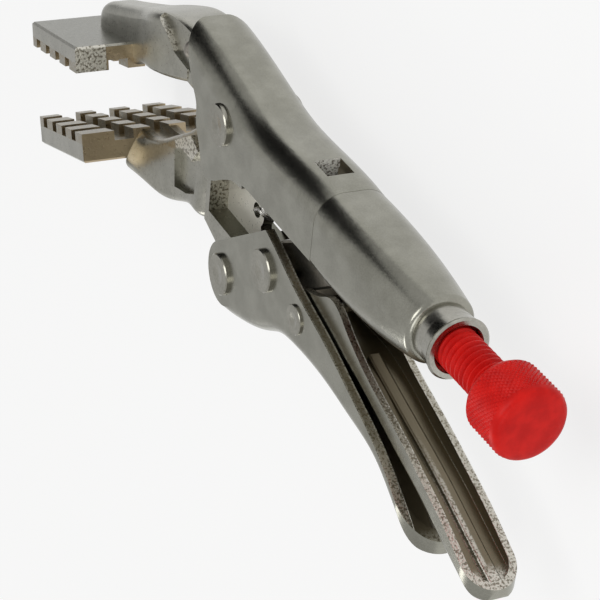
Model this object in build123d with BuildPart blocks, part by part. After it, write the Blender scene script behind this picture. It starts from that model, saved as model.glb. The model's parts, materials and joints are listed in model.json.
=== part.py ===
"""Locking pliers with wide toothed jaws, locked with the jaws set wide open.

The tool lies flat on its side. X runs back along the adjusting screw, Y points from the
lower handle to the back of the upper handle, and Z runs across the tool. Every piece is
drawn about the jaw pivot, and at the end the whole tool moves so that the origin is at the
middle of its footprint.
"""
from build123d import *
import math
import os

os.makedirs("parts", exist_ok=True)

# Pivots, measured from the jaw pivot
handle_pivot_back = 5.5
handle_pivot_drop = 33.2
link_pivot_back = 25.5
link_pivot_drop = 21.2
lever_pivot_back = 41.1
lever_pivot_drop = 23.9
screw_drop = 3.6
link_end_back = 53.2
link_end_drop = 4.6

# Pressed steel of the two handles
sheet = 2.0
body_width = 16.6
body_reach = 62.0
body_drop = 15.5
back_radius = 6.0
plate_drop = 8.2
curl_radius = 5.0
tube_rise = 5.2
tube_drop = 11.6
tube_back = 82.5
tube_diameter = 14.2
tube_round = 1.2
slot_width = 5.0
link_slot = 9.4
slot_neck = 57.0
seam_step = 0.04
lower_width = 16.0
lower_reach = 95.0
lower_depth = 45.0
lower_bend = 3.0
lower_floor_start = 13.0
lower_eye_radius = 7.2

# Tongue pressed out of the back, which holds the spring
tongue_back = 33.8
tongue_drop = -0.5
tongue_width = 2.4
tongue_root_width = 5.4
tongue_root = 4.6
tongue_length = 8.9
tongue_end = 1.8
window_length = 6.2
window_width = 5.9

# Release lever
lever_width = 11.2
lever_sheet = 1.5
lever_reach = 113.7
lever_depth = 41.7
lever_rib_width = 2.8
lever_rib_height = 1.0
lever_bend = 1.5

# Jaw blocks and their teeth
tip_width = 32.4
block_flare = 6.8
block_length = 41.0
upper_thickness = 6.0
lower_thickness = 6.9
upper_tip_front = 97.6
upper_tip_drop = 16.6
upper_grip_angle = 14.6
lower_tip_front = 90.1
lower_tip_drop = 39.2
lower_grip_angle = 19.6
tooth_depth = 2.3
row_pitch = 9.2
row_slot = 3.7
first_land = 3.6
column_pitch = 9.1
column_groove = 4.8
row_count = 4
block_edge = 0.5
hub_gap = 0.6

# Arms that carry the blocks
arm_reach = 87.0
arm_rise = 14.0
arm_width = 15.2
arm_round = 2.6
arm_under_round = 1.2
recess_width = 11.8
jaw_reach = 52.7
jaw_depth = 35.2
gusset_width = 26.0
jaw_round = 1.5
rim_width = 15.2
jaw_hub_radius = 7.0
jaw_eye_radius = 6.2
pocket_depth = 1.6
spring_tab = 2.6
spring_hole_back = 6.5
spring_hole_drop = 18.0
spring_hole = 3.4
spring_tab_radius = 3.6
weld_radius = 2.2
weld_lead = 2.1
weld_lift = 1.2

# Toggle link
link_width = 7.4
link_eye_radius = 5.6
link_end_radius = 4.5

# Rivets
rivet_shank = 6.0
rivet_head = 9.3
rivet_rise = 1.0
lever_rivet_shank = 4.0
lever_rivet_head = 6.4
lever_rivet_rise = 0.5
dish_depth = 0.3

# Adjusting screw and the bush that it runs in
bush_diameter = 11.8
bush_back = 89.0
bush_front = 70.0
bush_edge = 0.4
flare_diameter = 12.9
flare_length = 3.4
flare_rim = 0.9
mouth_diameter = 10.2
mouth_depth = 1.4
thread_diameter = 8.6
thread_pitch = 1.5
thread_depth = 0.8
screw_tip_gap = 2.0
screw_tip_round = 2.0
knob_front = 102.2
knob_diameter = 15.3
knob_length = 12.4
knob_edge = 1.2
knob_shoulder = 2.4

# Return spring
wire = 1.0
coil_radius = 2.5
coil_pitch = 1.5
hook_bend = 1.3
hook_sweep = 185.0
sample_step = 0.3

# Clearances
side_gap = 0.15
pivot_gap = 0.05
screw_gap = 0.08
overrun = 30.0
tiny = 1e-9

body_half = body_width / 2
body_room = body_half - sheet
lower_half = lower_width / 2
lower_room = lower_half - sheet
lever_half = lever_width / 2
lever_room = lever_half - lever_sheet
jaw_half = lower_room - side_gap
screw_radius = thread_diameter / 2
bore_radius = screw_radius + screw_gap
shank_radius = rivet_shank / 2
lever_shank_radius = lever_rivet_shank / 2

# Outlines as shares of each piece's own reach and depth, with the reach and depth at 1
back_shares = (
    (-0.387, 0.903), (-0.161, 0.768), (-0.026, 0.652), (0.082, 0.555),
    (0.203, 0.471), (0.355, 0.439), (0.726, 0.390),
)
skirt_shares = (
    (0.258, -0.510), (0.187, -0.535), (0.045, -0.748), (-0.056, -0.960), (-0.105, -0.985),
    (-0.135, -0.871), (-0.168, -0.600), (-0.203, -0.355), (-0.213, -0.065), (-0.250, 0.129),
    (-0.298, 0.439), (-0.345, 0.740), (-0.387, 0.903),
)
lower_floor_shares = (
    (0.074, -0.931), (0.171, -0.882), (0.267, -0.807), (0.353, -0.720), (0.421, -0.696),
    (0.589, -0.696), (0.695, -0.724), (0.811, -0.769), (0.868, -0.830), (1.0, -1.0),
)
lower_edge_shares = (
    (1.0, -0.938), (0.905, -0.789), (0.832, -0.696), (0.695, -0.582), (0.544, -0.473),
    (0.400, -0.387), (0.334, -0.331), (0.257, -0.273),
)
lever_edge_shares = (
    (-0.070, 0.090), (-0.048, 0.264), (0.012, 0.354), (0.074, 0.449), (0.123, 0.539),
    (0.174, 0.506), (0.226, 0.382), (0.281, 0.264), (0.371, 0.112), (0.481, -0.028),
    (0.591, -0.169), (0.687, -0.309), (0.798, -0.478), (0.894, -0.657), (1.0, -0.865),
)
lever_floor_shares = (
    (0.994, -1.0), (0.921, -0.899), (0.811, -0.736), (0.674, -0.534), (0.536, -0.365),
    (0.260, -0.039), (0.136, -0.028), (0.043, -0.208), (-0.033, -0.197),
)
arm_shares = (
    (-0.963, -0.640, 1.090, 0.420), (-0.948, -0.510, 1.075, 0.500), (-0.862, -0.250, 0.960, 0.620),
    (-0.747, -0.010, 0.880, 0.665), (-0.655, 0.190, 0.821, 0.710), (-0.575, 0.390, 0.586, 0.820),
    (-0.490, 0.575, 0.443, 1.0), (-0.400, 0.735, 0.314, 0.980), (-0.354, 0.782, 0.235, 0.945),
    (-0.308, 0.808, 0.148, 0.905), (-0.262, 0.825, 0.057, 0.860),
)
jaw_shares = (
    (-1.025, -0.750, 0.943, 0.350, 1.0), (-0.930, -0.728, 0.977, 0.350, 0.810),
    (-0.854, -0.710, 0.989, 0.360, 0.680), (-0.721, -0.625, 1.0, 0.400, 0.540),
    (-0.569, -0.489, 0.960, 0.450, 0.460), (-0.380, -0.307, 0.847, 0.450, 0.450),
    (-0.190, -0.139, 0.795, 0.450, 0.450),
)
rim_shares = (
    (-0.469, -0.443), (-0.309, -0.295), (-0.228, -0.349), (-0.309, -0.500), (-0.425, -0.551),
)
tang_shares = (
    (-0.268, 0.805), (-0.180, 0.710), (-0.080, 0.610), (-0.080, -0.086), (-0.190, -0.064),
    (-0.268, -0.040),
)
tail_shares = (
    (-0.190, -0.139), (0.0, 0.0), (0.120, -0.085), (0.144, -0.369), (0.182, -0.682),
    (0.209, -0.852), (0.104, -0.943), (-0.100, -0.840), (-0.190, -0.795),
)
upper_pocket_shares = (
    (-0.460, 0.950), (-0.440, 0.600), (-0.394, 0.507), (-0.341, 0.271), (-0.237, 0.136),
    (-0.167, 0.086), (-0.200, 0.350), (-0.228, 0.600), (-0.255, 0.950),
)
lower_pocket_shares = (
    (-0.540, -0.560), (-0.400, -0.450), (-0.290, -0.450), (-0.290, -0.700), (-0.400, -0.780),
    (-0.520, -0.820),
)
tail_pocket_shares = ((-0.152, -0.384), (0.280, -0.312), (0.280, -0.724), (-0.152, -0.710))


def spread(shares, reach, depth):
    """Points from shares of a reach and a depth."""
    return [(along * reach, up * depth) for along, up in shares]


def lowered(points, drop):
    """The same points, lower by a drop."""
    return [(along, up - drop) for along, up in points]


def turned_plane(front, drop, angle, side):
    """A jaw block's plane at its tip, facing the other jaw for side 1 and away for side -1."""
    slope = math.radians(angle)
    return Plane(
        origin=(-front, -drop, 0),
        x_dir=(math.cos(slope), math.sin(slope), 0),
        z_dir=(side * math.sin(slope), -side * math.cos(slope), 0),
    )


def block_outline():
    """Draws a wide block's outline, its tip at the sketch's origin."""
    half_tip = tip_width / 2
    half_rear = half_tip + block_flare / 2
    Polyline(
        (0, -half_tip), (block_length, -half_rear), (block_length, half_rear), (0, half_tip),
        close=True,
    )


def jaw_block(plane, thickness):
    """A wide block of one thickness, with its outer edges broken."""
    with BuildPart() as block:
        with BuildSketch(plane):
            with BuildLine():
                block_outline()
            make_face()
        extrude(amount=thickness)
        away = Axis((0, 0, 0), tuple(-plane.z_dir))
        chamfer(block.faces().sort_by(away)[-1].edges(), block_edge)
    return block.part


def tooth_cuts(plane, thickness):
    """The slots and grooves that leave a block's teeth standing."""
    with BuildPart() as cuts:
        with BuildSketch(plane.offset(thickness)):
            for row in range(row_count):
                with Locations((first_land + row_slot / 2 + row * row_pitch, 0)):
                    Rectangle(row_slot, overrun + tip_width)
            for column in (-1, 0, 1):
                with Locations((block_length / 2, column * column_pitch)):
                    Rectangle(2 * block_length, column_groove)
        extrude(amount=-tooth_depth)
    return cuts.part


def side_pockets(points, half, depth):
    """Pockets of one depth on both sides of a jaw."""
    with BuildPart() as pockets:
        for side in (-1, 1):
            with BuildSketch(Plane.XY.offset(side * (half - depth))):
                with BuildLine():
                    Polyline(*points, close=True)
                make_face()
            extrude(amount=side * overrun)
    return pockets.part


def rivet(back, drop, shank, head, rise, half):
    """A rivet across the tool, with a shallow dish in each head."""
    with BuildPart() as body:
        with BuildSketch(Plane(origin=(back, -drop, 0), x_dir=(1, 0, 0), z_dir=(0, -1, 0))):
            with BuildLine():
                Polyline(
                    (0, -half - rise + dish_depth), (head / 4, -half - rise),
                    (head / 2 - rise / 4, -half - rise), (head / 2, -half - rise * 3 / 4),
                    (head / 2, -half), (shank / 2, -half), (shank / 2, half), (head / 2, half),
                    (head / 2, half + rise * 3 / 4), (head / 2 - rise / 4, half + rise),
                    (head / 4, half + rise), (0, half + rise - dish_depth), close=True,
                )
            make_face()
        revolve(axis=Axis((back, -drop, 0), (0, 0, 1)))
    return body.part


back_points = spread(back_shares, body_reach, body_drop)
skirt_points = spread(skirt_shares, body_reach, body_drop)
room_back = lowered(back_points, sheet)
curl_start, curl_top = back_points[-1]


def handle_section(back, rise, drop, half, top_round, bottom_round):
    """A cross-section of the handle with its own rounding above and below."""
    with BuildSketch(Plane.YZ.offset(back)) as section:
        with Locations(((rise - drop) / 2, 0)):
            Rectangle(rise + drop, 2 * half)
        fillet(section.vertices().group_by(Axis.X)[-1], top_round)
        fillet(section.vertices().group_by(Axis.X)[0], bottom_round)
    return section.sketch


def tail_loft(inset):
    """The handle's rear, where its lower edges curl in and it becomes a tube."""
    small = sheet / 4
    end_radius = tube_diameter / 2 - inset
    with BuildPart() as tail:
        first = inset + seam_step
        add(handle_section(
            curl_start, curl_top - first, plate_drop - first, body_half - first,
            back_radius - first, small))
        add(handle_section(
            body_reach, tube_rise - inset, tube_drop - inset, body_half - inset,
            back_radius - inset, curl_radius - inset))
        add(handle_section(
            tube_back, end_radius - screw_drop, end_radius + screw_drop, end_radius,
            end_radius - pivot_gap, end_radius - pivot_gap))
        loft()
    return tail.part


# Room inside the upper handle, cut from its body later
with BuildPart() as front_room:
    with BuildSketch(Plane.XY):
        with BuildLine():
            Line((room_back[0][0] - overrun, room_back[0][1] + overrun / 5), room_back[0])
            Spline(room_back)
            Polyline(
                room_back[-1], (curl_start, -overrun), (room_back[0][0] - overrun, -overrun),
                (room_back[0][0] - overrun, room_back[0][1] + overrun / 5),
            )
        make_face()
    extrude(amount=body_room, both=True)
    fillet(
        front_room.edges().filter_by(GeomType.BSPLINE).filter_by(
            lambda edge: abs(edge.center().Z) > body_room / 2),
        back_radius - sheet,
    )

# The spring's line, from its eye in the lower jaw to the tongue in the handle
tongue_point = Vector(tongue_back, -tongue_drop, 0)
spring_start = Vector(spring_hole_back, -spring_hole_drop, 0)
spring_way = (tongue_point - spring_start).normalized()
spring_span = (tongue_point - spring_start).length
hook_centre = tongue_point - spring_way * coil_radius
tongue_middle = hook_centre.X
tongue_low = hook_centre.Y - tongue_end
tongue_high = tongue_low + tongue_length
window_front = tongue_middle + sheet / 2

with BuildPart() as upper_handle:
    with BuildSketch(Plane.XY):
        with BuildLine():
            Spline(back_points)
            Polyline(back_points[-1], (curl_start, -plate_drop), skirt_points[0])
            Spline(skirt_points)
        make_face()
    extrude(amount=body_half, both=True)
    fillet(
        upper_handle.edges().filter_by(GeomType.BSPLINE).filter_by(
            lambda edge: abs(edge.center().Z) > body_half / 2).group_by(SortBy.LENGTH)[-1],
        back_radius,
    )
    add(tail_loft(0))
    fillet(
        upper_handle.faces().sort_by(Axis.X)[-1].edges(), tube_round)
    add(front_room.part, mode=Mode.SUBTRACT)
    add(tail_loft(sheet), mode=Mode.SUBTRACT)
    with BuildSketch(Plane.YZ.offset(bush_front)):
        with Locations((-screw_drop, 0)):
            Circle(bush_diameter / 2)
    extrude(amount=overrun, mode=Mode.SUBTRACT)
    with BuildSketch(Plane.XZ.offset(screw_drop)):
        with BuildLine():
            Polyline(
                (curl_start, body_room), (slot_neck, link_slot / 2), (body_reach, slot_width / 2),
                (bush_front, slot_width / 2), (bush_front, -slot_width / 2),
                (body_reach, -slot_width / 2), (slot_neck, -link_slot / 2),
                (curl_start, -body_room), close=True,
            )
        make_face()
    extrude(amount=overrun, mode=Mode.SUBTRACT)
    with BuildSketch(Plane.XY):
        Circle(shank_radius)
    extrude(amount=overrun, both=True, mode=Mode.SUBTRACT)
    with BuildSketch(Plane.XZ):
        with Locations((window_front + window_length / 2, 0)):
            Rectangle(window_length, window_width)
    extrude(amount=-overrun, mode=Mode.SUBTRACT)
    with BuildSketch(Plane.XY):
        with Locations((tongue_middle, tongue_low + tongue_length / 2)):
            Rectangle(sheet, tongue_length)
    extrude(amount=tongue_width / 2, both=True)
    with BuildSketch(Plane.XY):
        with Locations((tongue_middle, tongue_high - tongue_root / 2)):
            Rectangle(sheet, tongue_root)
    extrude(amount=tongue_root_width / 2, both=True)


def wedge_section(back, rise, drop, half, foot, rounding):
    """A cross-section that spreads from its top's half width to its foot's."""
    with BuildSketch(Plane.YZ.offset(back)) as section:
        with BuildLine():
            Polyline((rise, -half), (rise, half), (-drop, foot), (-drop, -foot), close=True)
        make_face()
        fillet(section.vertices(), rounding)
    return section.sketch


# Fixed jaw: an arm welded into the front of the upper handle, and its wide block
upper_plane = turned_plane(upper_tip_front, upper_tip_drop, upper_grip_angle, 1)
upper_pocket = spread(upper_pocket_shares, arm_reach, arm_rise)

with BuildPart() as jaw_tang:
    with BuildSketch(Plane.XY):
        with BuildLine():
            Polyline(*spread(tang_shares, arm_reach, arm_rise), close=True)
        make_face()
    extrude(amount=body_room, both=True)
    fillet(
        jaw_tang.edges().filter_by(
            lambda edge: edge.center().Y > arm_rise / 2 and abs(edge.center().Z) > body_room / 2),
        back_radius - sheet,
    )

with BuildPart() as upper_arm:
    for along, top, under, across in arm_shares:
        add(handle_section(
            along * arm_reach, top * arm_rise, under * arm_rise, across * arm_width / 2,
            arm_round, arm_under_round))
    loft()

with BuildPart() as fixed_jaw:
    add(upper_arm.part)
    add(jaw_tang.part)
    add(jaw_block(upper_plane, upper_thickness))
    add(tooth_cuts(upper_plane, upper_thickness), mode=Mode.SUBTRACT)
    add(side_pockets(upper_pocket, recess_width / 2, 0), mode=Mode.SUBTRACT)
    with BuildSketch(Plane.XY):
        Circle(jaw_hub_radius + hub_gap)
    extrude(amount=overrun, both=True, mode=Mode.SUBTRACT)
print("fixed jaw", len(fixed_jaw.solids()), round(fixed_jaw.part.volume))

seam_back, seam_rise = skirt_points[-3]
weld_back = seam_back - weld_lead
weld_rise = seam_rise + weld_lift
with BuildPart() as jaw_weld:
    with Locations((weld_back, weld_rise, body_room), (weld_back, weld_rise, -body_room)):
        Sphere(weld_radius)
    add(upper_handle.part, mode=Mode.SUBTRACT)
    add(fixed_jaw.part, mode=Mode.SUBTRACT)
print("weld", len(jaw_weld.solids()), round(jaw_weld.part.volume, 2))

# Lower jaw: its wide block, the arm, and the tail that turns on two rivets
lower_plane = turned_plane(
    lower_tip_front, lower_tip_drop, lower_grip_angle, -1).offset(-lower_thickness)
lower_pocket = spread(lower_pocket_shares, jaw_reach, jaw_depth)
tail_pocket = spread(tail_pocket_shares, jaw_reach, jaw_depth)
eye = (handle_pivot_back, -handle_pivot_drop)
spring_eye = (spring_hole_back, -spring_hole_drop)

with BuildPart() as lower_arm:
    for along, top, under, across, foot in jaw_shares:
        add(wedge_section(
            along * jaw_reach, top * jaw_depth, under * jaw_depth, across * gusset_width / 2,
            foot * gusset_width / 2, jaw_round))
    loft()

# The block's outer face is kept clear, because the jaw is levered on it
with BuildPart() as lower_jaw:
    add(lower_arm.part)
    with BuildSketch(lower_plane):
        with BuildLine():
            block_outline()
        make_face()
    extrude(amount=-lower_thickness, mode=Mode.SUBTRACT)
    with BuildSketch(Plane.XY):
        with BuildLine():
            Polyline(*spread(rim_shares, jaw_reach, jaw_depth), close=True)
        make_face()
    extrude(amount=rim_width / 2, both=True)
    with BuildSketch(Plane.XY):
        with BuildLine():
            Polyline(*spread(tail_shares, jaw_reach, jaw_depth), close=True)
        make_face()
        Circle(jaw_hub_radius)
        with Locations(eye):
            Circle(jaw_eye_radius)
        with Locations(spring_eye):
            Circle(spring_tab_radius)
    extrude(amount=jaw_half, both=True)
    add(jaw_block(lower_plane, lower_thickness))
    add(tooth_cuts(lower_plane, lower_thickness), mode=Mode.SUBTRACT)
    add(side_pockets(lower_pocket, jaw_half, pocket_depth), mode=Mode.SUBTRACT)
    add(side_pockets(tail_pocket, jaw_half, jaw_half - spring_tab / 2), mode=Mode.SUBTRACT)
    with BuildSketch(Plane.XY):
        with Locations(spring_eye):
            Circle(spring_hole / 2)
        Circle(shank_radius + pivot_gap)
        with Locations(eye):
            Circle(shank_radius + pivot_gap)
    extrude(amount=overrun, both=True, mode=Mode.SUBTRACT)
print("lower jaw", len(lower_jaw.solids()), round(lower_jaw.part.volume))

# Lower handle: a channel open towards the upper handle, with a round end
lower_floor = spread(lower_floor_shares, lower_reach, lower_depth)
lower_edge = spread(lower_edge_shares, lower_reach, lower_depth)
link_eye = (link_pivot_back, -link_pivot_drop)
lever_eye = (lever_pivot_back, -lever_pivot_drop)
edge_slope = math.atan2(lower_edge[-1][1] - eye[1], lower_edge[-1][0] - eye[0])
edge_slope -= math.asin(lower_eye_radius / math.dist(lower_edge[-1], eye))
eye_edge = (
    eye[0] - lower_eye_radius * math.sin(edge_slope),
    eye[1] + lower_eye_radius * math.cos(edge_slope),
)


def rounded_plan(reach, half):
    """The space over a channel's outline from above, with its round end."""
    with BuildPart() as plan:
        with BuildSketch(Plane.XZ):
            Rectangle(2 * (reach - half), 2 * half)
            with Locations((reach - half, 0)):
                Circle(half)
        extrude(amount=3 * overrun, both=True)
    return plan.part


with BuildPart() as lower_room_shape:
    with BuildSketch(Plane.XY):
        with BuildLine():
            Spline(lowered(lower_floor[1:], -sheet))
            Polyline(
                (lower_floor[-1][0], lower_floor[-1][1] + sheet), (2 * lower_reach, overrun),
                (-overrun, overrun), (-overrun, -2 * lower_depth),
                (lower_floor_start, -2 * lower_depth),
                (lower_floor_start, lower_floor[1][1] + sheet),
                (lower_floor[1][0], lower_floor[1][1] + sheet),
            )
        make_face()
    extrude(amount=lower_room, both=True)
    add(rounded_plan(lower_reach - sheet, lower_room), mode=Mode.INTERSECT)

with BuildPart() as lower_handle:
    with BuildSketch(Plane.XY):
        with BuildLine():
            Spline(lower_floor)
            Line(lower_floor[-1], lower_edge[0])
            Spline(lower_edge)
            Polyline(lower_edge[-1], eye_edge, eye, lower_floor[0])
        make_face()
    extrude(amount=lower_half, both=True)
    fillet(
        lower_handle.edges().filter_by(GeomType.BSPLINE).filter_by(
            lambda edge: abs(edge.center().Z) > lower_half / 2 and edge.center().Y <
            -lower_depth * 2 / 3).group_by(SortBy.LENGTH)[-1],
        lower_bend,
    )
    with BuildSketch(Plane.XY):
        with Locations(eye):
            Circle(lower_eye_radius)
    extrude(amount=lower_half, both=True)
    add(rounded_plan(lower_reach, lower_half), mode=Mode.INTERSECT)
    add(lower_room_shape.part, mode=Mode.SUBTRACT)
    with BuildSketch(Plane.XY):
        with Locations(eye, link_eye):
            Circle(shank_radius)
        with Locations(lever_eye):
            Circle(lever_shank_radius)
    extrude(amount=overrun, both=True, mode=Mode.SUBTRACT)
print("lower handle", len(lower_handle.solids()), round(lower_handle.part.volume))

# Release lever: a narrower channel with a rib along its floor
lever_span = lever_reach - lever_pivot_back
lever_fall = lever_depth - lever_pivot_drop
lever_edge = [
    (lever_pivot_back + along, up - lever_pivot_drop)
    for along, up in spread(lever_edge_shares, lever_span, lever_fall)
]
lever_floor = [
    (lever_pivot_back + along, up - lever_pivot_drop)
    for along, up in spread(lever_floor_shares, lever_span, lever_fall)
]

with BuildPart() as lever_room_shape:
    with BuildSketch(Plane.XY):
        with BuildLine():
            Spline(lowered(lever_floor[:-2], -lever_sheet))
            Polyline(
                (lever_floor[-3][0], lever_floor[-3][1] + lever_sheet),
                (-overrun, lever_floor[-3][1] + lever_sheet), (-overrun, overrun),
                (2 * lever_reach, overrun), (2 * lever_reach, lever_floor[0][1] + lever_sheet),
                (lever_floor[0][0], lever_floor[0][1] + lever_sheet),
            )
        make_face()
    extrude(amount=lever_room, both=True)
    add(rounded_plan(lever_reach - lever_sheet, lever_room), mode=Mode.INTERSECT)

with BuildPart() as lever_rib:
    with BuildSketch(Plane.XY):
        with BuildLine():
            Spline(lowered(lever_floor[:-3], -lever_sheet / 2))
            Line(
                (lever_floor[-4][0], lever_floor[-4][1] + lever_sheet / 2),
                (lever_floor[-4][0], lever_floor[-4][1] + lever_sheet + lever_rib_height))
            Spline(lowered(lever_floor[:-3], -lever_sheet - lever_rib_height))
            Line(
                (lever_floor[0][0], lever_floor[0][1] + lever_sheet / 2),
                (lever_floor[0][0], lever_floor[0][1] + lever_sheet + lever_rib_height))
        make_face()
    extrude(amount=lever_rib_width / 2, both=True)
    fillet(
        lever_rib.edges().filter_by(GeomType.BSPLINE).filter_by(
            lambda edge: abs(edge.center().Z) > lever_rib_width / 4).group_by(Axis.Y)[-1],
        lever_rib_height / 2,
    )
    add(rounded_plan(lever_reach - lever_sheet / 2, lever_room), mode=Mode.INTERSECT)

with BuildPart() as release_lever:
    with BuildSketch(Plane.XY):
        with BuildLine():
            Spline(lever_edge)
            Line(lever_edge[-1], lever_floor[0])
            Spline(lever_floor)
            Line(lever_floor[-1], lever_edge[0])
        make_face()
    extrude(amount=lever_half, both=True)
    fillet(
        release_lever.edges().filter_by(GeomType.BSPLINE).filter_by(
            lambda edge: abs(edge.center().Z) > lever_half / 2).group_by(Axis.Y)[0],
        lever_bend,
    )
    add(rounded_plan(lever_reach, lever_half), mode=Mode.INTERSECT)
    add(lever_room_shape.part, mode=Mode.SUBTRACT)
    add(lever_rib.part)
    with BuildSketch(Plane.XY):
        with Locations(lever_eye):
            Circle(lever_shank_radius + pivot_gap)
    extrude(amount=overrun, both=True, mode=Mode.SUBTRACT)
print("lever", len(release_lever.solids()), round(release_lever.part.volume))

# Toggle link: its end bears on the adjusting screw's tip
link_end = (link_end_back, -link_end_drop)
with BuildPart() as toggle_link:
    with BuildSketch(Plane.XY):
        with Locations(link_eye):
            Circle(link_eye_radius)
        with Locations(link_end):
            Circle(link_end_radius)
        make_hull()
    extrude(amount=link_width / 2, both=True)
    chamfer(toggle_link.faces().filter_by(Axis.Z).edges(), block_edge)
    with BuildSketch(Plane.XY):
        with Locations(link_eye):
            Circle(shank_radius + pivot_gap)
    extrude(amount=overrun, both=True, mode=Mode.SUBTRACT)

# Adjusting screw: a threaded rod and its knurled knob in one piece
tip_back = link_end_back + link_end_radius + screw_tip_gap
thread_count = int((knob_front - bush_front) / thread_pitch)
with BuildPart() as adjusting_screw:
    with BuildSketch(Plane.XY.move(Location((0, -screw_drop, 0)))):
        with BuildLine():
            outline = [(tip_back, 0), (tip_back, screw_radius - screw_tip_round),
                       (tip_back + screw_tip_round, screw_radius)]
            for turn in range(thread_count):
                crest = bush_front + turn * thread_pitch
                outline += [(crest, screw_radius),
                            (crest + thread_pitch / 2, screw_radius - thread_depth)]
            outline += [
                (knob_front - knob_shoulder / 4, screw_radius),
                (knob_front + knob_shoulder / 2, knob_diameter / 2 - knob_shoulder),
                (knob_front + knob_shoulder, knob_diameter / 2),
                (knob_front + knob_length - knob_edge, knob_diameter / 2),
                (knob_front + knob_length, knob_diameter / 2 - knob_edge),
                (knob_front + knob_length, 0),
            ]
            Polyline(*outline, close=True)
        make_face()
    revolve(axis=Axis((0, -screw_drop, 0), (1, 0, 0)))

with BuildPart() as screw_bush:
    with BuildSketch(Plane.XY.move(Location((0, -screw_drop, 0)))):
        with BuildLine():
            Polyline(
                (bush_front, bore_radius), (bush_front, bush_diameter / 2),
                (bush_back - flare_length, bush_diameter / 2),
                (bush_back - flare_rim, flare_diameter / 2 - bush_edge / 2),
                (bush_back - bush_edge, flare_diameter / 2),
                (bush_back, flare_diameter / 2 - bush_edge),
                (bush_back, mouth_diameter / 2), (bush_back - mouth_depth, bore_radius),
                close=True,
            )
        make_face()
    revolve(axis=Axis((0, -screw_drop, 0), (1, 0, 0)))

jaw_rivet_part = rivet(0, 0, rivet_shank, rivet_head, rivet_rise, body_half)
handle_rivet_part = rivet(
    handle_pivot_back, handle_pivot_drop, rivet_shank, rivet_head, rivet_rise, lower_half)
link_rivet_part = rivet(
    link_pivot_back, link_pivot_drop, rivet_shank, rivet_head, rivet_rise, lower_half)
lever_rivet_part = rivet(
    lever_pivot_back, lever_pivot_drop, lever_rivet_shank, lever_rivet_head,
    lever_rivet_rise, lower_half)


def biarc(start, start_way, end, end_way):
    """Two arcs that leave start along one direction and reach end along another."""
    reach = end - start
    both = start_way + end_way
    spare = 2 * (1 - start_way.dot(end_way))
    along = reach.dot(both)
    if spare < tiny:
        arm = reach.dot(reach) / (4 * reach.dot(end_way))
    else:
        arm = (math.sqrt(along * along + spare * reach.dot(reach)) - along) / spare
    middle = (start + end + (start_way - end_way) * arm) / 2
    middle_way = ((end - end_way * arm) - (start + start_way * arm)).normalized()
    TangentArc(start, middle, tangent=start_way)
    TangentArc(middle, end, tangent=middle_way)


# Return spring between the lower jaw's tail and the tongue in the upper handle
hook_height = hook_bend + wire + coil_radius
coil_span = spring_span - 2 * hook_height
turn_lead = math.asin(hook_bend / coil_radius) / (2 * math.pi)
coil_turns = int(coil_span / coil_pitch) - 2 * turn_lead
coil_rise = coil_span / coil_turns
coil_steps = 2 * int(coil_span / coil_pitch)
spring_frame = Plane(origin=spring_start, x_dir=(0, 0, 1), z_dir=spring_way)


def hook_knot(sweep):
    """A point on the front hook's ring and the way along it, by degrees from the coil's side."""
    turn = math.radians(sweep)
    point = Vector(
        coil_radius * math.cos(turn), 0, coil_radius - coil_radius * math.sin(turn))
    return point, Vector(math.sin(turn), 0, math.cos(turn))


def coil_knot(share):
    """A point on the coil and the way along it, at a share of its whole length."""
    angle = 2 * math.pi * (turn_lead + share * coil_turns)
    ring = 2 * math.pi * coil_radius
    point = Vector(
        coil_radius * math.cos(angle), coil_radius * math.sin(angle),
        hook_height + share * coil_span)
    way = Vector(-ring * math.sin(angle), ring * math.cos(angle), coil_rise).normalized()
    return point, way


def turned_about(knot):
    """The same knot on the other hook, which is the first one turned half round."""
    point, way = knot
    return Vector(point.X, -point.Y, spring_span - point.Z), Vector(-way.X, way.Y, way.Z)


hook_end, hook_end_way = hook_knot(hook_sweep)
hook_side, hook_side_way = hook_knot(0)
front_hook = [
    (hook_end - hook_end_way * wire, hook_end_way), (hook_end, hook_end_way),
    hook_knot(hook_sweep / 2), (hook_side, hook_side_way),
    (hook_side + hook_side_way * wire, hook_side_way),
]
coil = [coil_knot(step / coil_steps) for step in range(coil_steps + 1)]
knots = front_hook + coil + [turned_about(knot) for knot in reversed(front_hook)]
world_origin = spring_frame.from_local_coords(Vector(0, 0, 0))
knots = [
    (spring_frame.from_local_coords(point), spring_frame.from_local_coords(way) - world_origin)
    for point, way in knots
]

with BuildPart() as return_spring:
    with BuildLine() as spring_path:
        for (start, start_way), (end, end_way) in zip(knots, knots[1:]):
            if (end - start).normalized().dot(start_way) > 1 - tiny:
                Line(start, end)
            else:
                biarc(start, start_way, end, end_way)
    path = spring_path.wire()
    with BuildSketch(Plane(origin=path @ 0, z_dir=path % 0)):
        Circle(wire / 2)
    sweep(path=path)
print("spring", len(return_spring.solids()), round(return_spring.part.volume, 1), "turns", coil_turns)

# The least gap between the wire and itself, from points along it
sample_count = int(path.length / sample_step)
samples = [path @ (step / sample_count) for step in range(sample_count + 1)]
apart = int(3 * wire / sample_step)
least = min(
    (samples[first] - samples[second]).length
    for first in range(len(samples)) for second in range(first + apart, len(samples))
)
print("spring wire length", round(path.length, 1), "least gap", round(least - wire, 3))

pieces = {
    "upper_handle": upper_handle.part,
    "fixed_jaw": fixed_jaw.part,
    "jaw_weld": jaw_weld.part,
    "screw_bush": screw_bush.part,
    "jaw_rivet": jaw_rivet_part,
    "lower_jaw": lower_jaw.part,
    "lower_handle": lower_handle.part,
    "handle_rivet": handle_rivet_part,
    "link_rivet": link_rivet_part,
    "lever_rivet": lever_rivet_part,
    "toggle_link": toggle_link.part,
    "release_lever": release_lever.part,
    "adjusting_screw": adjusting_screw.part,
    "return_spring": return_spring.part,
}

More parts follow.
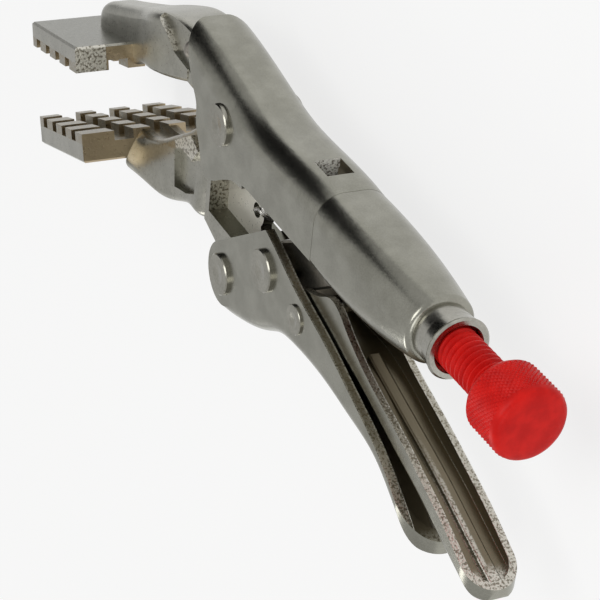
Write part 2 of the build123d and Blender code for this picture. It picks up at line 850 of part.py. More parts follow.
# One move puts the origin at the middle of the tool's footprint
boxes = [piece.bounding_box() for piece in pieces.values()]
low_x = min(box.min.X for box in boxes)
high_x = max(box.max.X for box in boxes)
low_y = min(box.min.Y for box in boxes)
high_y = max(box.max.Y for box in boxes)
low_z = min(box.min.Z for box in boxes)
to_origin = Location((-(low_x + high_x) / 2, -(low_y + high_y) / 2, -low_z))
print("moved by", [round(value, 4) for value in to_origin.position])
for name, piece in pieces.items():
    with BuildPart() as placed:
        add(piece.moved(to_origin))
    placed.part.label = name
    export_step(placed.part, f"parts/{name}.step")
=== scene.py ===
import json
import math
import bmesh
import bpy
from mathutils import Matrix, Vector


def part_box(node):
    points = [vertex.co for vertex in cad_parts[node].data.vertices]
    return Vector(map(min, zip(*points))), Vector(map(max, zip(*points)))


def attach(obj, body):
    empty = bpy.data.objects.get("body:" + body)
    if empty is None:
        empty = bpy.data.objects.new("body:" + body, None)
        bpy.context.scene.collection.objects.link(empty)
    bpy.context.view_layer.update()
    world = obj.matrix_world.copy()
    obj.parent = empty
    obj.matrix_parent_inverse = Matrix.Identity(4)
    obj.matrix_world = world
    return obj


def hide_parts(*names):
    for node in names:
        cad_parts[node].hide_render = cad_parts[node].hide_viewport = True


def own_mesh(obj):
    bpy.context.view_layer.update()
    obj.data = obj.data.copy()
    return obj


# %% [markdown]
# Locking pliers with two wide toothed jaws lie on their side. The packed model already has
# every part at its true size, so this file only dresses it: metal, paint, light and a camera.
# All places are measured from the jaw pivot, because the parts were drawn about it.

# %% Load the pliers
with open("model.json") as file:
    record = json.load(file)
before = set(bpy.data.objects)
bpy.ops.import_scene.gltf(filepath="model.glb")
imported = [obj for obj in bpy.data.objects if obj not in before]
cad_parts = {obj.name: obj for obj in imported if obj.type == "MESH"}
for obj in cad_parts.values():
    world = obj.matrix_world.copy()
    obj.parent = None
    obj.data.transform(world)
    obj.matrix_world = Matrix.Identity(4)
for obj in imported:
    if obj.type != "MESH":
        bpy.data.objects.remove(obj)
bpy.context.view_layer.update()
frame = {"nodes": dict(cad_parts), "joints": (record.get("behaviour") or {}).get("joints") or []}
mm = 0.001
joints = {joint["name"]: joint for joint in frame["joints"]}
pivot = Vector(joints["jaw_hinge"]["pos_m"])
nodes = frame["nodes"]
print("nodes", len(nodes), "jaw pivot", [round(value, 4) for value in pivot])

# %% [markdown]
# The photograph looks down the handles from behind and from close by, so the knob looks
# large beside the jaws. A camera could be turned by angles, but unit vectors are easier to
# check: its right, its up, and the way back to it, which is the cross product of the two.

# %% Place the camera
camera_place = Vector((343.67, 182.69, 170.73)) * mm
camera_right = Vector((0.4264, 0.0892, -0.9001))
camera_up = Vector((-0.4927, 0.8574, -0.1484))
camera_back = camera_right.cross(camera_up)
camera_data = bpy.data.cameras.new("photo_camera")
camera_data.lens = 120
camera_data.sensor_width = 36
camera = bpy.data.objects.new("photo_camera", camera_data)
turn = Matrix((camera_right, camera_up, camera_back)).transposed()
camera.matrix_world = Matrix.Translation(pivot + camera_place) @ turn.to_4x4()
bpy.context.scene.collection.objects.link(camera)
bpy.context.scene.camera = camera
print("camera", round(camera_place.length, 2), "m from the pivot")

# %% [markdown]
# A finish is worked out by small nodes that add, multiply and mix. Wired one at a time they
# are hard to read, so this class wraps one output of a node and the maths is written as
# Python: mask * 0.5 + 1 adds two Math nodes. Any other node comes from its method node.


# %% Shader values as Python expressions
class Tone:
    """One output of a node. Operators add Math nodes to its material."""

    def __init__(self, socket):
        self.socket = socket

    def node(self, kind, settings=None, inputs=None, output=0):
        """Any node: its settings first, then the values or Tones of its inputs."""
        tree = self.socket.id_data
        made = tree.nodes.new(kind)
        for setting, value in (settings or {}).items():
            setattr(made, setting, value)
        for place, value in (inputs or {}).items():
            if isinstance(value, Tone):
                tree.links.new(value.socket, made.inputs[place])
            else:
                made.inputs[place].default_value = value
        return Tone(made.outputs[output])

    def math(self, operation, *values):
        """A Math node on the values given."""
        return self.node("ShaderNodeMath", {"operation": operation}, dict(enumerate(values)))

    def __add__(self, other):
        return self.math("ADD", self, other)

    def __radd__(self, other):
        return self.math("ADD", other, self)

    def __sub__(self, other):
        if isinstance(other, Vector):
            return self.node(
                "ShaderNodeVectorMath", {"operation": "SUBTRACT"}, {0: self, 1: other})
        return self.math("SUBTRACT", self, other)

    def __rsub__(self, other):
        return self.math("SUBTRACT", other, self)

    def __mul__(self, other):
        return self.math("MULTIPLY", self, other)

    def __rmul__(self, other):
        return self.math("MULTIPLY", other, self)

    def __gt__(self, other):
        return self.math("GREATER_THAN", self, other)

    def __lt__(self, other):
        return self.math("LESS_THAN", self, other)

    def size(self):
        """The value without its sign."""
        return self.math("ABSOLUTE", self)

    def length(self):
        """The length of a vector."""
        return self.node(
            "ShaderNodeVectorMath", {"operation": "LENGTH"}, {0: self}, output=1)

    def most(self, other):
        """The higher of two values."""
        return self.math("MAXIMUM", self, other)

    def rise(self, low, high):
        """A soft step from 0 at low to 1 at high."""
        return self.node(
            "ShaderNodeMapRange", {"interpolation_type": "SMOOTHSTEP"},
            {"Value": self, "From Min": low, "From Max": high})

    def blend(self, low, high):
        """One colour where this value is 0, and the other where it is 1."""
        return self.node(
            "ShaderNodeMix", {"data_type": "RGBA", "clamp_factor": True},
            {"Factor": self, 6: low, 7: high}, output=2)

    def parts(self):
        """The X, Y and Z of a vector."""
        return [
            self.node("ShaderNodeSeparateXYZ", {}, {0: self}, output=axis) for axis in range(3)]

    def noise(self, grain, detail=3.0, rough=0.55, offset=0.0):
        """Noise whose spots are about one grain across."""
        moved = self.node("ShaderNodeMapping", {}, {0: self, 1: (offset, offset, offset)})
        return self.node(
            "ShaderNodeTexNoise", {},
            {"Vector": moved, "Scale": 1 / grain, "Detail": detail, "Roughness": rough})

    def bump(self, height, strength):
        """A bumpy normal, where height is how tall the bumps are."""
        return self.node(
            "ShaderNodeBump", {}, {"Height": self, "Distance": height, "Strength": strength})


print("a Tone has", [name for name in vars(Tone) if not name.startswith("_")])

# %% [markdown]
# Every finish starts in the same way: a material, its shader, and where each point of the
# surface lies and faces. What is the same all over is set on the shader's own sockets, and
# only what changes over the surface is linked.


# %% Start a finish
def socket_name(word):
    """The shader's own name for a socket, from a word such as base_color."""
    return word.replace("_", " ").title().replace("Ior", "IOR")


def finish_named(name, **fixed):
    """A new material with its shader, its place and its normal on the object."""
    material = bpy.data.materials.new(name)
    material.use_nodes = True
    shader = material.node_tree.nodes["Principled BSDF"]
    for socket, value in fixed.items():
        shader.inputs[socket_name(socket)].default_value = value
    place = material.node_tree.nodes.new("ShaderNodeTexCoord")
    return material, shader, Tone(place.outputs["Object"]), Tone(place.outputs["Normal"])


def drive(shader, **values):
    """Links Tones to the shader's sockets."""
    for socket, value in values.items():
        shader.id_data.links.new(value.socket, shader.inputs[socket_name(socket)])


print("sockets", socket_name("base_color"), "and", socket_name("specular_ior_level"))

# %% [markdown]
# The floor is a pale sheet under a pure white background. A plain white floor renders grey,
# so this one glows white for the camera and for shiny metal, and keeps only a share of its
# true shading, which leaves a soft shadow.

# %% Lay the floor
floor_size = 6.0
shadow_share = 0.25
white = (1, 1, 1, 1)
floor_mesh = bmesh.new()
bmesh.ops.create_grid(floor_mesh, x_segments=1, y_segments=1, size=floor_size / 2)
floor_data = bpy.data.meshes.new("floor")
floor_mesh.to_mesh(floor_data)
floor_mesh.free()
floor = bpy.data.objects.new("floor", floor_data)
bpy.context.scene.collection.objects.link(floor)

floor_finish, floor_shader, _, _ = finish_named(
    "pale_floor", base_color=(0.86, 0.86, 0.85, 1), roughness=0.9, specular_ior_level=0.0)
floor_nodes = floor_finish.node_tree.nodes
rays = floor_nodes.new("ShaderNodeLightPath")
seen = Tone(rays.outputs["Is Camera Ray"]).most(Tone(rays.outputs["Is Glossy Ray"]))
seen = seen.most(Tone(rays.outputs["Is Transmission Ray"]))
glow = seen.node("ShaderNodeEmission", {}, {"Color": white, "Strength": 1.0})
glow_share = seen * (1 - shadow_share)
lit = glow_share.node(
    "ShaderNodeMixShader", {},
    {"Fac": glow_share, 1: Tone(floor_shader.outputs[0]), 2: glow})
floor_finish.node_tree.links.new(lit.socket, floor_nodes["Material Output"].inputs["Surface"])
floor_data.materials.append(floor_finish)
print("floor", floor_size, "m across")

# %% [markdown]
# A real studio has white walls. Here the world stands in for them, and its strength depends
# on who asks: full white for the camera, less for shiny metal, and least as plain light, so
# that the background is clean and the metal still has shade on it.

# %% Paint the room white
glossy_level = 0.62
ambient_level = 0.5
world = bpy.data.worlds.new("white_room")
world.use_nodes = True
bpy.context.scene.world = world
bpy.context.scene.view_settings.view_transform = "Standard"
room = world.node_tree
room_rays = room.nodes.new("ShaderNodeLightPath")
room_seen = Tone(room_rays.outputs["Is Camera Ray"])
room_seen = room_seen.most(Tone(room_rays.outputs["Is Transmission Ray"]))
room_glossy = Tone(room_rays.outputs["Is Glossy Ray"])
room_level = room_seen * (1 - ambient_level) + room_glossy * (glossy_level - ambient_level)
room_level = room_level + ambient_level
room.links.new(room_level.socket, room.nodes["Background"].inputs["Strength"])
room.nodes["Background"].inputs["Color"].default_value = white
print("room for metal", glossy_level, "and as light", ambient_level)

# %% [markdown]
# Three soft lamps stand for a studio's softboxes: one above the handles, one beyond the
# knob and one on the far side. Large squares were chosen, because a small lamp would draw
# hard spots on satin metal.

# %% Set up the lamps
# Each lamp has its place and its width in metres, and its power in watts.
lamps = {
    "key_lamp": ((0.3, 0.5, 0.9), 0.6, 3.6),
    "end_lamp": ((0.9, -0.1, 0.35), 0.4, 1.0),
    "far_lamp": ((-0.35, -0.75, 0.6), 0.4, 1.6),
}


def soft_lamp(name, place, width, power):
    """A square lamp that faces the middle of the tool."""
    data = bpy.data.lights.new(name, "AREA")
    data.shape = "SQUARE"
    data.size = width
    data.energy = power
    lamp = bpy.data.objects.new(name, data)
    lamp.location = place
    lamp.rotation_euler = (-lamp.location).to_track_quat("-Z", "Y").to_euler()
    bpy.context.scene.collection.objects.link(lamp)


for lamp_name, (lamp_place, lamp_width, lamp_power) in lamps.items():
    soft_lamp(lamp_name, lamp_place, lamp_width, lamp_power)
print("lamps", list(lamps))

# %% [markdown]
# Satin metal is only as lively as what it mirrors, and in a white room it goes flat. A
# photographer holds up a black card for that. This one is hidden from everything but
# reflections, so it draws a dark streak along the tool's back and throws no shadow.

# %% Hold up the dark card
card_place = Vector((-0.78, 0.40, 0.37))
card_across = 0.80
card_tall = 0.66


def dark_card(name, place, across, tall):
    """A black card that only reflections see."""
    mesh = bmesh.new()
    bmesh.ops.create_grid(mesh, x_segments=1, y_segments=1, size=0.5)
    bmesh.ops.scale(mesh, verts=mesh.verts, vec=(across, tall, 1))
    facing = (-place).to_track_quat("Z", "Y").to_matrix().to_4x4()
    bmesh.ops.transform(mesh, verts=mesh.verts, matrix=Matrix.Translation(place) @ facing)
    data = bpy.data.meshes.new(name)
    mesh.to_mesh(data)
    mesh.free()
    paint = bpy.data.materials.new(name)
    paint.use_nodes = True
    paint.node_tree.nodes.clear()
    black = paint.node_tree.nodes.new("ShaderNodeEmission")
    black.inputs["Color"].default_value = (0, 0, 0, 1)
    output = paint.node_tree.nodes.new("ShaderNodeOutputMaterial")
    paint.node_tree.links.new(black.outputs[0], output.inputs["Surface"])
    data.materials.append(paint)
    card = bpy.data.objects.new(name, data)
    bpy.context.scene.collection.objects.link(card)
    card.visible_camera = False
    card.visible_diffuse = False
    card.visible_shadow = False
    card.visible_transmission = False


dark_card("back_card", card_place, card_across, card_tall)
print("card", card_across, "by", card_tall, "m")

# %% [markdown]
# Where sheet is sheared or a forging is torn, the metal is bright and full of pits.
# Modelled pits would take millions of faces, so two noises stand for them: one is the torn
# height, and one says where the pits are, whose shade is painted in as a dark colour.

# %% Torn metal
torn_light = (0.66, 0.64, 0.57, 1)
# Painted shade: the dark colour of the pits.
pit_painted_shade = (0.24, 0.22, 0.175, 1)
limit_blur = 0.2 * mm


def within(value, low, high):
    """1 between two limits and 0 outside them, with soft ends."""
    above = value.rise(low - limit_blur, low + limit_blur)
    return above * (1 - value.rise(high - limit_blur, high + limit_blur))


def torn_metal(place, spot):
    """Torn metal: its height, and a mask of its pits, where their shade is painted dark, about one
    spot across.
    """
    torn = place.noise(spot, 3.0, 0.6, offset=1.3)
    pits = place.noise(spot * 0.8, 2.0, 0.5, offset=2.1)
    return torn * 1.4 + pits * 0.9, 1 - pits.rise(0.38, 0.52)


def layered(colour, *layers):
    """A colour with layers over it, each a mask and its own colour."""
    for mask, top in layers:
        colour = mask.blend(colour, top)
    return colour


print("limits are", limit_blur / mm, "mm soft to each side")

# %% [markdown]
# The handles and the lever are pressed from sheet. Their cut edges are torn, and some have a
# brown core. Inside, the channels are dull and painted dark brown, which is partly their plating
# and partly painted shade, and near the tip a strip of the floor and the end wall are pale and
# torn. The meshes have no UV maps to paint on, so each of these areas is a mask, worked out from
# where a point lies and which way it faces.

# %% Find the areas of a pressed part
line_blur = 0.1 * mm
core_fade = 35 * mm
strip_low, strip_high = 0.2 * mm, 1.6 * mm
strip_start, strip_full = 76 * mm, 100 * mm
end_wall_start, end_wall_full = 6 * mm, 3 * mm
tongue_place = Vector((32.0, 5.0, 0)) * mm
tongue_reach = 5.0 * mm
behind_tool = 400 * mm


def sheet_areas(place, normal, half, wall, open_side, edge_end, tip, core_share):
    """Masks of a bent sheet, one wall thick and half to each side of the middle.

    The channel is open towards +Y for an open_side of 1, and towards -Y for -1. Its cut
    edges are torn from the front to edge_end, with core_share of brown that fades out
    before the tip. A strip of the channel's floor and the end wall are pale and torn near the
    tip, and the tongue in the handle's window is unplated metal with painted light on it.
    """
    from_pivot = place - pivot
    x, _, z = from_pivot.parts()
    nx, ny, nz = normal.parts()
    off = z.size()
    inside = half - wall
    side = nz.size().rise(0.3, 0.6)
    opening = ny * open_side
    edge = off.rise(inside - line_blur, inside + line_blur) * opening.rise(0.25, 0.5)
    edge = edge * (1 - side) * (x < edge_end)
    floor_in = opening.rise(0.1, 0.4) * (1 - off.rise(inside - 2 * line_blur, inside))
    inner = ((z * nz < 0) * side).most(floor_in)
    core = edge * (1 - (off - (half - wall / 2)).size().rise(0.25 * wall, 0.4 * wall))
    core = core * (1 - x.rise(tip - core_fade, tip)) * core_share
    strip = floor_in * within(z, strip_low, strip_high) * x.rise(strip_start, strip_full)
    end_wall = inner * x.rise(tip - end_wall_start, tip - end_wall_full)
    # Near the tip a strip of the channel's floor and the end wall take the pale torn colour.
    pale_near_tip = (strip * 0.8).most(end_wall)
    tongue_top = (from_pivot - tongue_place).length() < tongue_reach
    bare_lit_tongue = tongue_top * (1 - side) * nx.rise(0.4, 0.8)
    return inner, edge, core, pale_near_tip, bare_lit_tongue


print("edges are torn to", line_blur / mm, "mm from the sheet's inner face")

# %% [markdown]
# The plate is satin nickel, a soft warm grey with a fine tumbled grain. One even grey would
# look like plastic, so broad patches shade the plate and a fine noise gives it grain. Each
# area is then laid over that with its own colour, roughness and height.

# %% Plate the pressed parts
nickel_dark = (0.27, 0.265, 0.225, 1)
nickel_light = (0.37, 0.365, 0.315, 1)
# Painted shade: the channels' inside is dull plating, painted this dark brown to stand for the
# shade in it.
channel_brown_and_shade = (0.20, 0.172, 0.12, 1)
core_brown = (0.22, 0.185, 0.12, 1)
# Painted light: the tongue lies in shade, and this near-white stands for light on its unplated
# metal.
tongue_white_painted_light = (0.98, 0.96, 0.88, 1)


def nickel(name, **sheet):
    """Satin nickel on a pressed part, whose sheet is as sheet_areas describes it."""
    material, shader, place, normal = finish_named(name)
    inner, edge, core, pale_near_tip, bare_lit_tongue = sheet_areas(place, normal, **sheet)
    patches = place.noise(6 * mm, 2.0)
    fine = place.noise(0.35 * mm, 4.0, 0.7, offset=0.3)
    torn, pits = torn_metal(place, 0.55 * mm)
    torn_colour = pits.blend(torn_light, pit_painted_shade)
    satin = patches.rise(0.3, 0.7) * 0.6 + fine.rise(0.35, 0.65) * 0.4
    colour = layered(
        satin.blend(nickel_dark, nickel_light), (inner, channel_brown_and_shade), (edge, torn_colour),
        (core, core_brown), (pale_near_tip, torn_colour), (bare_lit_tongue, pits.blend(tongue_white_painted_light, pit_painted_shade)))
    rough = 0.15 + fine * 0.16 + inner * 0.12 + edge * 0.08
    height = fine * 0.45 + patches * 0.8 + edge.most(bare_lit_tongue).most(pale_near_tip * 0.6) * torn * 3.2
    drive(
        shader, base_color=colour, roughness=rough, metallic=1 - bare_lit_tongue * 0.85,
        normal=height.bump(0.05 * mm, 0.5))
    return material


finishes = {
    "upper_handle": nickel(
        "handle_nickel", half=8.3 * mm, wall=2.0 * mm, open_side=-1, edge_end=44 * mm,
        tip=behind_tool, core_share=0),
    "lower_handle": nickel(
        "grip_nickel", half=8.0 * mm, wall=2.0 * mm, open_side=1, edge_end=behind_tool,
        tip=98 * mm, core_share=0.8),
    "release_lever": nickel(
        "lever_nickel", half=5.6 * mm, wall=1.5 * mm, open_side=1, edge_end=behind_tool,
        tip=113.7 * mm, core_share=0.35),
}
print("pressed parts", list(finishes))

# %% [markdown]
# The jaws, the link, the bush and the rivets are forged or turned, and the weld is a run of
# cooled metal. Their surface is like fine pebbles, shallow on a rivet and deep on the weld.
# One recipe serves them all, each with its own grain, depth and colour.


# %% Forged and turned steel
def pebbled(place, spot, dark, light):
    """A pebbled surface: its height, and a colour that is mottled with it."""
    pebbles = place.noise(spot, 4.0, 0.65)
    patches = place.noise(7 * mm, 2.0, 0.5, offset=0.4)
    mottle = pebbles.rise(0.3, 0.7) * 0.5 + patches.rise(0.3, 0.7) * 0.5
    return pebbles, mottle.blend(dark, light)


def forged(name, dark, light, spot, depth, rough_low, rough_high):
    """Plated steel over pebbles one spot across and one depth high."""
    material, shader, place, _ = finish_named(name, metallic=1.0)
    pebbles, colour = pebbled(place, spot, dark, light)
    rough = rough_low + pebbles * (rough_high - rough_low)
    drive(shader, base_color=colour, roughness=rough, normal=pebbles.bump(depth, 0.6))
    return material


finishes["jaw_weld"] = forged(
    "weld_bead", dark=(0.14, 0.12, 0.10, 1), light=(0.40, 0.38, 0.34, 1),
    spot=1.0 * mm, depth=0.20 * mm, rough_low=0.35, rough_high=0.6)
finishes["toggle_link"] = forged(
    "link_nickel", dark=(0.24, 0.23, 0.20, 1), light=(0.40, 0.38, 0.34, 1),
    spot=0.6 * mm, depth=0.05 * mm, rough_low=0.28, rough_high=0.45)
finishes["screw_bush"] = forged(
    "bush_nickel", dark=(0.34, 0.33, 0.29, 1), light=(0.50, 0.49, 0.44, 1),
    spot=0.5 * mm, depth=0.025 * mm, rough_low=0.16, rough_high=0.3)
for rivet in ("jaw_rivet", "handle_rivet", "link_rivet", "lever_rivet"):
    finishes[rivet] = forged(
        f"{rivet}_steel", dark=(0.27, 0.26, 0.22, 1), light=(0.40, 0.39, 0.34, 1),
        spot=0.5 * mm, depth=0.03 * mm, rough_low=0.16, rough_high=0.3)
print("finishes so far", len(finishes))

# %% [markdown]
# A jaw is one forging: its arm and its wide toothed block. Its plating is brown on the
# block's faces that look back along the tool and in the teeth, and torn bright where the
# flash was broken off. The thin web between its side pockets lies in shade, and light is
# painted on it as a pale grey. These areas are masks too.

# %% Find the areas of a jaw
brown_from = -44 * mm
dark_below = -6 * mm
web_half = 1.8 * mm


def jaw_areas(place, normal, torn_places, teeth):
    """Masks of a jaw, whose places are all measured from the pivot.

    Faces that look towards +Y are painted darker, as shade, where y is less than dark_below,
    and the block's back is in front of brown_from. Each torn place is (low x, high x, low y,
    high y, least distance from the middle, side) in mm: on the side faces for side 1, and on
    the faces that look back for side 0. The teeth stand where the first two numbers of teeth
    times x and y pass the third.
    """
    x, y, z = (place - pivot).parts()
    nx, ny, nz = normal.parts()
    side = nz.size().rise(0.5, 0.8)
    back = nx.rise(0.55, 0.8) * (1 - side) * (x < brown_from)
    torn_spots = []
    for low_x, high_x, low_y, high_y, least, on_side in torn_places:
        spot = within(x, low_x * mm, high_x * mm) * within(y, low_y * mm, high_y * mm)
        spot = spot * (z.size() > least * mm)
        torn_spots.append(spot * (side if on_side else (1 - side) * nx.rise(0.2, 0.4)))
    bright = torn_spots[0]
    for spot in torn_spots[1:]:
        bright = bright.most(spot)
    darker = ny.rise(0.85, 0.95) * (y < dark_below)
    tooth = (x * teeth[0] + y * teeth[1] > teeth[2] * mm) * (1 - back)
    web = side * (z.size() < web_half)
    return darker, back, tooth, web, bright


print("the web is", 2 * web_half / mm, "mm thick at most")

# %% [markdown]
# Both jaws take the pebbled recipe with larger spots, because a forging is coarser than a
# turned part. One function plates them, and only the places of the torn metal and of the
# teeth differ.

# %% Plate the jaws
jaw_dark = (0.28, 0.275, 0.235, 1)
jaw_light = (0.42, 0.41, 0.36, 1)
jaw_brown = (0.44, 0.355, 0.235, 1)
# Painted shade: faces that look up below dark_below are made this dark.
jaw_painted_shade = (0.18, 0.178, 0.145, 1)
tooth_brown = (0.30, 0.255, 0.175, 1)
# Painted light: a pale grey on the shaded web between the pockets.
web_painted_light = (0.60, 0.58, 0.50, 1)


def jaw(name, torn_places, teeth):
    """Plated forging with its areas as jaw_areas finds them."""
    material, shader, place, normal = finish_named(name)
    darker, back, tooth, web, bright = jaw_areas(place, normal, torn_places, teeth)
    pebbles, colour = pebbled(place, 0.8 * mm, jaw_dark, jaw_light)
    torn, pits = torn_metal(place, 0.7 * mm)
    colour = layered(
        colour, (darker, jaw_painted_shade), (back, jaw_brown),
        (tooth * pebbles.rise(0.35, 0.6), tooth_brown), (web, web_painted_light),
        (bright, pits.blend(torn_light, pit_painted_shade)))
    rough = 0.2 + pebbles * 0.2
    height = pebbles + back * torn * 0.8 + tooth * torn * 1.2 + bright * torn * 2.0
    drive(
        shader, base_color=colour, roughness=rough, metallic=1 - web * 0.6,
        normal=height.bump(0.07 * mm, 0.55))
    return material


finishes["fixed_jaw"] = jaw(
    "upper_jaw_nickel", torn_places=(
        (-41, -17, -2, 14, 5.7, 0),
        (-60, -50, -13, -2, 12, 0)),
    teeth=(0.252, -0.968, -4.9))
finishes["lower_jaw"] = jaw(
    "lower_jaw_nickel", torn_places=(
        (-25.5, -11, -20.5, -9.5, 7.2, 1),
        (-25.5, -11, -20.5, -9.5, 5.0, 0),
        (-10, 2, -32, -8, 1.0, 0)),
    teeth=(-0.335, 0.942, -9.1))
print("finishes", len(finishes))

# %% [markdown]
# The packed parts come with plain slots. Their meshes are right, so each only swaps its slot
# for its finish. The screw and the spring are left out here, because new pieces replace them.

# %% Dress the parts
for name, finish in finishes.items():
    nodes[name].data.materials.clear()
    nodes[name].data.materials.append(finish)
print("dressed", len(finishes), "of", len(nodes), "parts")

# %% [markdown]
# The screw is a turned piece, and a turned piece starts as half of its outline, which is
# spun once round the axis. The first helper does that. The second finishes any new mesh: it
# closes seams, turns faces outwards and keeps the sharp edges sharp.

# %% Spin and finish a new piece
merge_distance = 0.002 * mm


def spun(mesh, outline, steps):
    """The outline, as (along, out) pairs about the X axis, spun into a closed turned shape."""
    corners = [mesh.verts.new((along, out, 0)) for along, out in outline]
    edges = [mesh.edges.new(pair) for pair in zip(corners, corners[1:])]
    bmesh.ops.spin(
        mesh, geom=corners + edges, cent=(0, 0, 0), axis=(1, 0, 0), angle=2 * math.pi,
        steps=steps, use_merge=True, use_duplicate=False)
    bmesh.ops.remove_doubles(mesh, verts=mesh.verts, dist=merge_distance)


def new_piece(name, mesh, finish, sharp_angle):
    """An object from a bmesh, smooth but for edges that turn more than sharp_angle degrees."""
    bmesh.ops.remove_doubles(mesh, verts=mesh.verts, dist=merge_distance)
    bmesh.ops.recalc_face_normals(mesh, faces=mesh.faces)
    for face in mesh.faces:
        face.smooth = True
    for edge in mesh.edges:
        if len(edge.link_faces) == 2 and edge.calc_face_angle() > math.radians(sharp_angle):
            edge.smooth = False
    data = bpy.data.meshes.new(name)
    mesh.to_mesh(data)
    mesh.free()
    data.materials.append(finish)
    piece = bpy.data.objects.new(name, data)
    bpy.context.scene.collection.objects.link(piece)
    print(name, "faces", len(data.polygons))
    return piece


print("points closer than", merge_distance / mm, "mm are one")

# %% [markdown]
# The screw and its knob are painted red as one piece. The paint is only half glossy, and a
# strong mirror would look like plastic. A low specular level and a roughness that varies
# with the grain look like paint that has been handled.

# %% Mix the red paint
red_deep = (0.52, 0.004, 0.003, 1)
red_bright = (0.72, 0.012, 0.008, 1)


def red_paint():
    """Half-glossy red, a little paler where it is rubbed."""
    material, shader, place, _ = finish_named(
        "red_coat", metallic=0.0, specular_ior_level=0.16)
    patches = place.noise(3 * mm, 3.0)
    fine = place.noise(0.4 * mm, 3.0, 0.6, offset=0.2)
    colour = (patches.rise(0.3, 0.7) * 0.7 + fine * 0.3).blend(red_deep, red_bright)
    drive(
        shader, base_color=colour, roughness=0.32 + fine * 0.2,
        normal=(fine + patches * 2.0).bump(0.05 * mm, 0.3))
    return material


red = red_paint()
print("paint", red.name)

# %% [markdown]
# The thread is a true helix. It could be a stack of rings, but rings show no lead. Here the
# outline of one turn is spun while it moves one pitch along per turn, so each turn meets the
# next, and a short turned tip closes the front end.

# %% Cut the thread
screw_low, screw_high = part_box("adjusting_screw")
screw_axis = Vector((0, (screw_low.y + screw_high.y) / 2, pivot.z))
thread_pitch = 1.5 * mm
thread_outer = 4.3 * mm
thread_inner = 3.6 * mm
thread_steps = 32
tip_radius = 2.3 * mm
tip_taper = 2 * mm
tip_length = 3 * mm
tip_core = 3.65 * mm
tip_steps = 48
knob_length = 12.4 * mm
knob_front = screw_high.x - knob_length
thread_start = screw_low.x + 2.5 * mm
thread_turns = int((knob_front - thread_start) / thread_pitch) + 1
# One turn's outline, as shares of a pitch along the screw and distances from its axis.
thread_outline = (
    (0, thread_inner), (0.18, thread_inner), (0.45, thread_outer), (0.68, thread_outer),
    (1, thread_inner))


def cut_thread(mesh):
    """A helical thread along X, from thread_start into the knob."""
    ring = []
    for share, out in thread_outline:
        ring.append(mesh.verts.new((thread_start + share * thread_pitch, out, 0)))
    edges = [mesh.edges.new(pair) for pair in zip(ring, ring[1:])]
    bmesh.ops.spin(
        mesh, geom=ring + edges, cent=(0, 0, 0), axis=(1, 0, 0),
        dvec=(thread_pitch / thread_steps, 0, 0), angle=2 * math.pi * thread_turns,
        steps=thread_steps * thread_turns, use_merge=False, use_duplicate=False)
    bmesh.ops.remove_doubles(mesh, verts=mesh.verts, dist=0.01 * mm)
    bmesh.ops.holes_fill(mesh, edges=[edge for edge in mesh.edges if edge.is_boundary])


thread_mesh = bmesh.new()
cut_thread(thread_mesh)
spun(thread_mesh, [
    (screw_low.x, 0), (screw_low.x, tip_radius), (screw_low.x + tip_taper, tip_core),
    (screw_low.x + tip_length, tip_core), (screw_low.x + tip_length, 0)], tip_steps)
bmesh.ops.translate(thread_mesh, verts=thread_mesh.verts, vec=screw_axis)
thread = new_piece("screw_thread", thread_mesh, red, sharp_angle=50)
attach(thread, "screw")
print("thread turns", thread_turns)

# %% [markdown]
# The knob is turned, with a rounded end and a band of diamond knurling for the fingers. On
# a real one a wheel presses the diamonds in. Here the band is a fine spun grid whose every
# second point is moved out, which gives true edges on the outline where a bump would not.

# %% Turn and knurl the knob
knob_radius = 7.65 * mm
knurl_columns = 46
knurl_rows = 18
knurl_depth = 0.22 * mm
knurl_front = knob_front + 2.5 * mm
knurl_back = screw_high.x - 1.3 * mm
band_radius = knob_radius - knurl_depth
neck = 0.4 * mm
# The rounded end: how far short of the end and how far in from the knob's radius, in mm.
crown = ((0.9, 0.35), (0.35, 0.8), (0.12, 1.4), (0, 3.0))


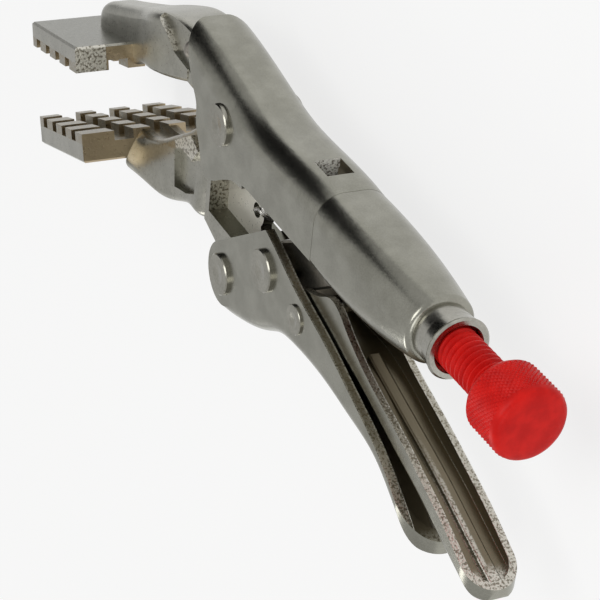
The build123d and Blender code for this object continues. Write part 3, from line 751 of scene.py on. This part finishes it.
def knurl(mesh):
    """A band of diamonds: every second point of a fine grid stands out."""
    row_length = (knurl_back - knurl_front) / knurl_rows
    corners = []
    for row in range(knurl_rows + 1):
        along = knurl_front + (knurl_back - knurl_front) * row / knurl_rows
        corners.append(mesh.verts.new((along, band_radius, 0)))
    edges = [mesh.edges.new(pair) for pair in zip(corners, corners[1:])]
    bmesh.ops.spin(
        mesh, geom=corners + edges, cent=(0, 0, 0), axis=(1, 0, 0), angle=2 * math.pi,
        steps=2 * knurl_columns, use_merge=True, use_duplicate=False)
    bmesh.ops.remove_doubles(mesh, verts=mesh.verts, dist=merge_distance)
    raised = []
    for corner in mesh.verts:
        row = round((corner.co.x - knurl_front) / row_length)
        column = round(math.atan2(corner.co.z, corner.co.y) * knurl_columns / math.pi)
        if (row + column) % 2 and 0 < row < knurl_rows:
            raised.append(corner)
    swell = knob_radius / band_radius
    bmesh.ops.scale(mesh, verts=raised, vec=(1, swell, swell))
    high = set(raised)
    for face in list(mesh.faces):
        low = [corner for corner in face.verts if corner not in high]
        if len(low) == 2:
            bmesh.ops.connect_verts(mesh, verts=low)


knob_mesh = bmesh.new()
knurl(knob_mesh)
crown_outline = [(screw_high.x - short * mm, knob_radius - inward * mm) for short, inward in crown]
spun(
    knob_mesh, [(knurl_back, band_radius), *crown_outline, (screw_high.x, 0)],
    2 * knurl_columns)
spun(knob_mesh, [
    (knurl_front, band_radius), (knob_front + 1.5 * mm, knob_radius - 0.9 * mm),
    (knob_front + 0.6 * mm, thread_outer + 0.9 * mm),
    (knob_front - neck, thread_outer + 0.05 * mm), (knob_front - neck, 0)],
    2 * knurl_columns)
bmesh.ops.translate(knob_mesh, verts=knob_mesh.verts, vec=screw_axis)
knob = new_piece("screw_knob", knob_mesh, red, sharp_angle=30)
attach(knob, "screw")
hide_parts("adjusting_screw")
print("knurl", knurl_columns, "by", knurl_rows)

# %% [markdown]
# The return spring is wound wire with a hook at each end. It pulls the jaws open, so it is
# drawn out while they are locked and shortens as they open. The packed solid already has its
# turns but is rigid, and a copy of it as a new piece, with a mesh of its own, keeps them.

# %% Wind the spring
wire_low, wire_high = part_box("return_spring")
spring_mesh = bmesh.new()
spring_mesh.from_mesh(nodes["return_spring"].data)
wire_steel = forged(
    "wire_steel", dark=(0.26, 0.25, 0.23, 1), light=(0.5, 0.49, 0.46, 1),
    spot=0.4 * mm, depth=0.01 * mm, rough_low=0.2, rough_high=0.35)
spring = new_piece("wound_spring", spring_mesh, wire_steel, sharp_angle=50)
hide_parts("return_spring")
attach(spring, "body")
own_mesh(spring)
print("spring box in mm", [round(value / mm, 1) for value in wire_high - wire_low])

# %% [markdown]
# The dressed model has to stay inside the packed one's box.
